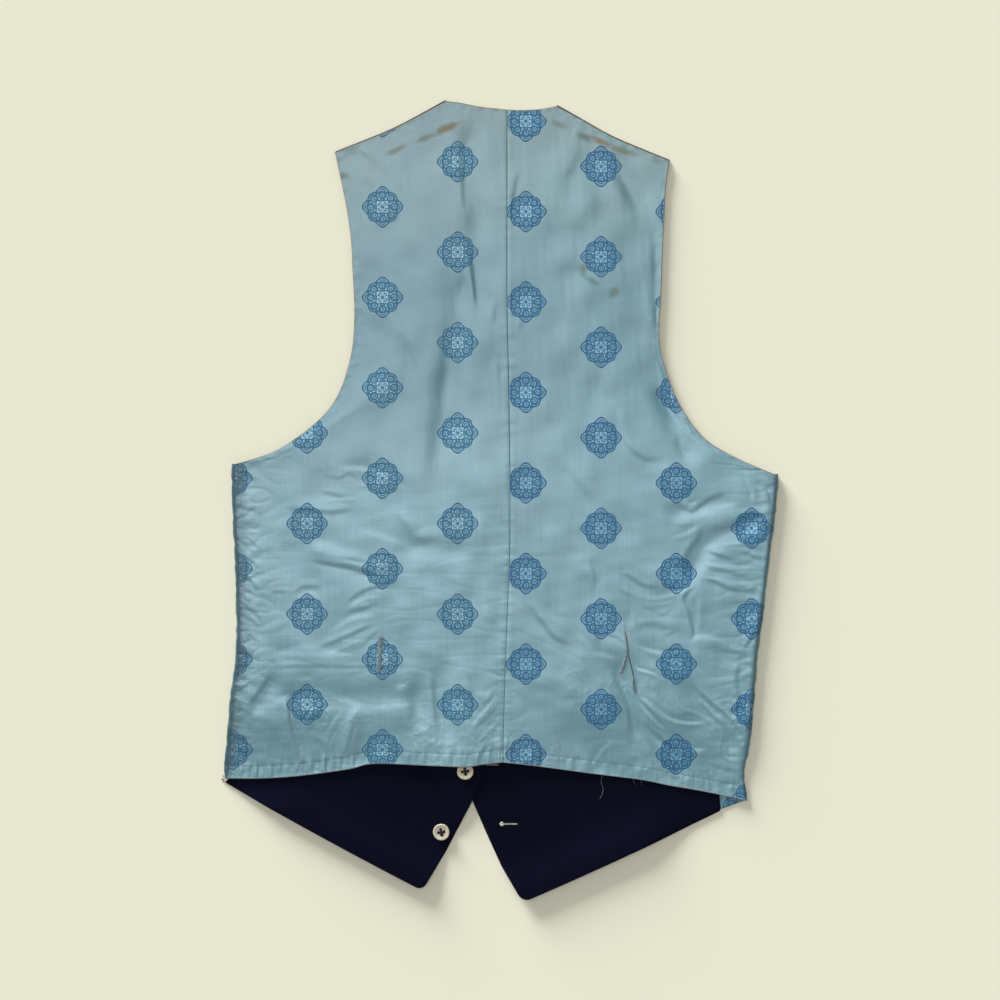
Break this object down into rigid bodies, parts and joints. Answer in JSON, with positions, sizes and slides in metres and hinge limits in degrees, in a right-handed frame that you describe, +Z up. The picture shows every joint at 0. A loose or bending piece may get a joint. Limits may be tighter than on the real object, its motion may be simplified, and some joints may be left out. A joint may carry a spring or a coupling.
{
  "type": "waistcoat laid flat",
  "caption": "Buttoned waistcoat laid flat on its fronts: pale blue printed silk back up, navy wool points and pale buttons showing below the hem.",
  "frame": {"origin": "centre of the bounding box's bottom face, on the table the waistcoat lies on", "axes": "+Y towards the neck, +Z up, out of the silk back, +X to the right seen from above"},
  "size_m": [0.4706, 0.6801, 0.0096],
  "materials": {
    "silk": "satin",
    "wool": "matte",
    "button": "polished"
  },
  "bodies": {
    "root": {"back_left": "silk", "back_right": "silk", "front_left": "wool", "front_right": "wool", "button_1": "button", "button_2": "button", "button_3": "button", "button_4": "button", "button_5": "button", "button_6": "button"}
  },
  "joints": []
}
